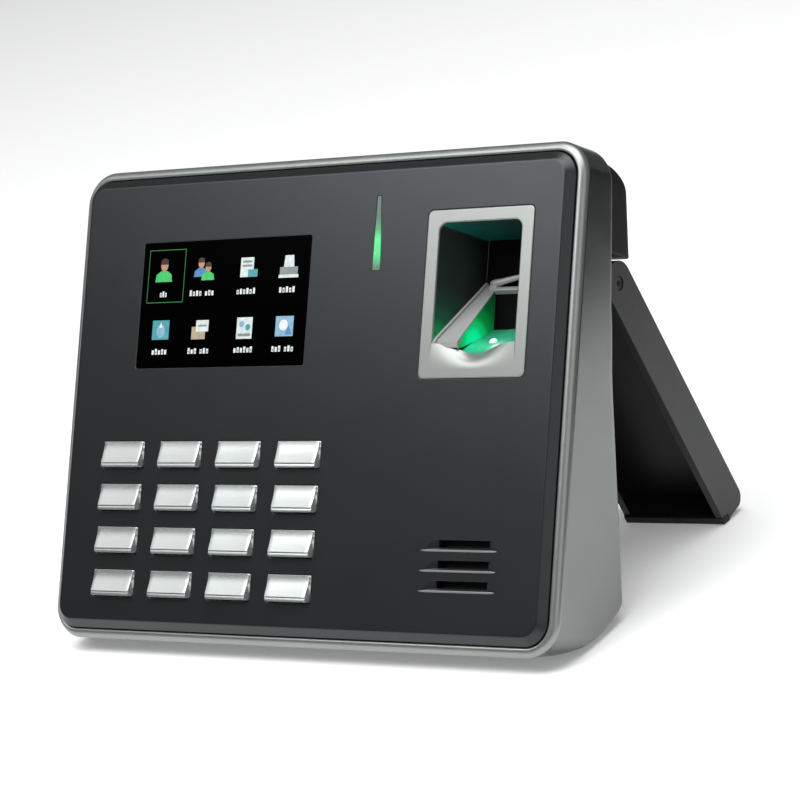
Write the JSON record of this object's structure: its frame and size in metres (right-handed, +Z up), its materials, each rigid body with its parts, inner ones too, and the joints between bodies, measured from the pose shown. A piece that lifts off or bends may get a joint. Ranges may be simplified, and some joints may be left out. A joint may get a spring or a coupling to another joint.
{
  "type": "fingerprint scanner terminal",
  "caption": "Wedge-shaped desktop fingerprint terminal with screen, keypad, lit finger recess and speaker slots, leaning on a folding two-legged rear stand.",
  "frame": {"origin": "centre of the bounding box on the surface it stands on", "axes": "+X to the right along the width, +Y from the face to the rear stand, +Z up; the face leans back 30 degrees from the vertical"},
  "size_m": [0.18, 0.1101, 0.1266],
  "materials": {
    "shell_silver": "satin silver paint",
    "plate_black": "semi-gloss black",
    "cover_black": "fine-textured black",
    "key_silver": "glossy silver paint",
    "frame_silver": "glossy silver paint",
    "lens_dark": "gloss clear over black",
    "clear": "polished",
    "light_clear": "frosted clear",
    "rubber_black": "matte",
    "steel": "brushed",
    "plated": "nickel plated",
    "board_green": "solder mask",
    "chip_black": "moulded",
    "film_white": "flat cable",
    "film_amber": "flexible circuit",
    "silicone_grey": "matte",
    "module_grey": "satin"
  },
  "bodies": {
    "base": {"bezel_shell": "shell_silver", "front_plate": "plate_black", "lcd_lens": "lens_dark", "lcd_module": "module_grey", "lcd_bracket": "cover_black", "light_guide": "light_clear", "status_led": "light_clear", "fp_frame": "frame_silver", "finger_well": "cover_black", "sensor_housing": "shell_silver", "sensor_prism": "clear", "sensor_camera": "chip_black", "sensor_board": "board_green", "sensor_cable": "film_white", "keypad_membrane": "silicone_grey", "keypad_board": "board_green", "keypad_cable": "film_white", "main_board": "board_green", "main_chips": "chip_black", "lcd_flex": "film_amber", "io_board": "board_green", "usb_socket": "plated", "dc_jack": "chip_black", "coin_cell": "steel", "cell_holder": "chip_black", "speaker": "cover_black", "speaker_gasket": "rubber_black", "rear_cover": "cover_black", "cover_screws": "plated", "board_screws": "plated", "rubber_feet": "rubber_black", "hinge_pins": "steel", "hinge_washers": "film_white", "tamper_switch": "chip_black"},
    "stand_leg": {"stand": "cover_black", "stand_foot": "rubber_black"},
    "plunger": {"tamper_plunger": "film_white"},
    "b_key_1": {"key_1": "key_silver"},
    "b_key_2": {"key_2": "key_silver"},
    "b_key_3": {"key_3": "key_silver"},
    "b_key_escape": {"key_escape": "key_silver"},
    "b_key_4": {"key_4": "key_silver"},
    "b_key_5": {"key_5": "key_silver"},
    "b_key_6": {"key_6": "key_silver"},
    "b_key_menu": {"key_menu": "key_silver"},
    "b_key_7": {"key_7": "key_silver"},
    "b_key_8": {"key_8": "key_silver"},
    "b_key_9": {"key_9": "key_silver"},
    "b_key_up": {"key_up": "key_silver"},
    "b_key_clear": {"key_clear": "key_silver"},
    "b_key_0": {"key_0": "key_silver"},
    "b_key_down": {"key_down": "key_silver"},
    "b_key_ok": {"key_ok": "key_silver"}
  },
  "joints": [
    {"name": "stand_hinge", "type": "hinge", "parent": "base", "child": "stand_leg", "pos_m": [0, 0.01774, 0.0839], "axis": [1, 0, 0], "range_deg": [-38.9, 0]},
    {"name": "plunger_slide", "type": "slide", "parent": "base", "child": "plunger", "axis": [0, -0.866, 0.5], "range_m": [0, 0.0011], "stiffness_N_per_m": 300, "springref_m": -0.0005},
    {"name": "key_1_press", "type": "slide", "parent": "base", "child": "b_key_1", "axis": [0, 0.866, -0.5], "range_m": [0, 0.001], "stiffness_N_per_m": 600, "springref_m": -0.0005},
    {"name": "key_2_press", "type": "slide", "parent": "base", "child": "b_key_2", "axis": [0, 0.866, -0.5], "range_m": [0, 0.001], "stiffness_N_per_m": 600, "springref_m": -0.0005},
    {"name": "key_3_press", "type": "slide", "parent": "base", "child": "b_key_3", "axis": [0, 0.866, -0.5], "range_m": [0, 0.001], "stiffness_N_per_m": 600, "springref_m": -0.0005},
    {"name": "key_escape_press", "type": "slide", "parent": "base", "child": "b_key_escape", "axis": [0, 0.866, -0.5], "range_m": [0, 0.001], "stiffness_N_per_m": 600, "springref_m": -0.0005},
    {"name": "key_4_press", "type": "slide", "parent": "base", "child": "b_key_4", "axis": [0, 0.866, -0.5], "range_m": [0, 0.001], "stiffness_N_per_m": 600, "springref_m": -0.0005},
    {"name": "key_5_press", "type": "slide", "parent": "base", "child": "b_key_5", "axis": [0, 0.866, -0.5], "range_m": [0, 0.001], "stiffness_N_per_m": 600, "springref_m": -0.0005},
    {"name": "key_6_press", "type": "slide", "parent": "base", "child": "b_key_6", "axis": [0, 0.866, -0.5], "range_m": [0, 0.001], "stiffness_N_per_m": 600, "springref_m": -0.0005},
    {"name": "key_menu_press", "type": "slide", "parent": "base", "child": "b_key_menu", "axis": [0, 0.866, -0.5], "range_m": [0, 0.001], "stiffness_N_per_m": 600, "springref_m": -0.0005},
    {"name": "key_7_press", "type": "slide", "parent": "base", "child": "b_key_7", "axis": [0, 0.866, -0.5], "range_m": [0, 0.001], "stiffness_N_per_m": 600, "springref_m": -0.0005},
    {"name": "key_8_press", "type": "slide", "parent": "base", "child": "b_key_8", "axis": [0, 0.866, -0.5], "range_m": [0, 0.001], "stiffness_N_per_m": 600, "springref_m": -0.0005},
    {"name": "key_9_press", "type": "slide", "parent": "base", "child": "b_key_9", "axis": [0, 0.866, -0.5], "range_m": [0, 0.001], "stiffness_N_per_m": 600, "springref_m": -0.0005},
    {"name": "key_up_press", "type": "slide", "parent": "base", "child": "b_key_up", "axis": [0, 0.866, -0.5], "range_m": [0, 0.001], "stiffness_N_per_m": 600, "springref_m": -0.0005},
    {"name": "key_clear_press", "type": "slide", "parent": "base", "child": "b_key_clear", "axis": [0, 0.866, -0.5], "range_m": [0, 0.001], "stiffness_N_per_m": 600, "springref_m": -0.0005},
    {"name": "key_0_press", "type": "slide", "parent": "base", "child": "b_key_0", "axis": [0, 0.866, -0.5], "range_m": [0, 0.001], "stiffness_N_per_m": 600, "springref_m": -0.0005},
    {"name": "key_down_press", "type": "slide", "parent": "base", "child": "b_key_down", "axis": [0, 0.866, -0.5], "range_m": [0, 0.001], "stiffness_N_per_m": 600, "springref_m": -0.0005},
    {"name": "key_ok_press", "type": "slide", "parent": "base", "child": "b_key_ok", "axis": [0, 0.866, -0.5], "range_m": [0, 0.001], "stiffness_N_per_m": 600, "springref_m": -0.0005}
  ]
}
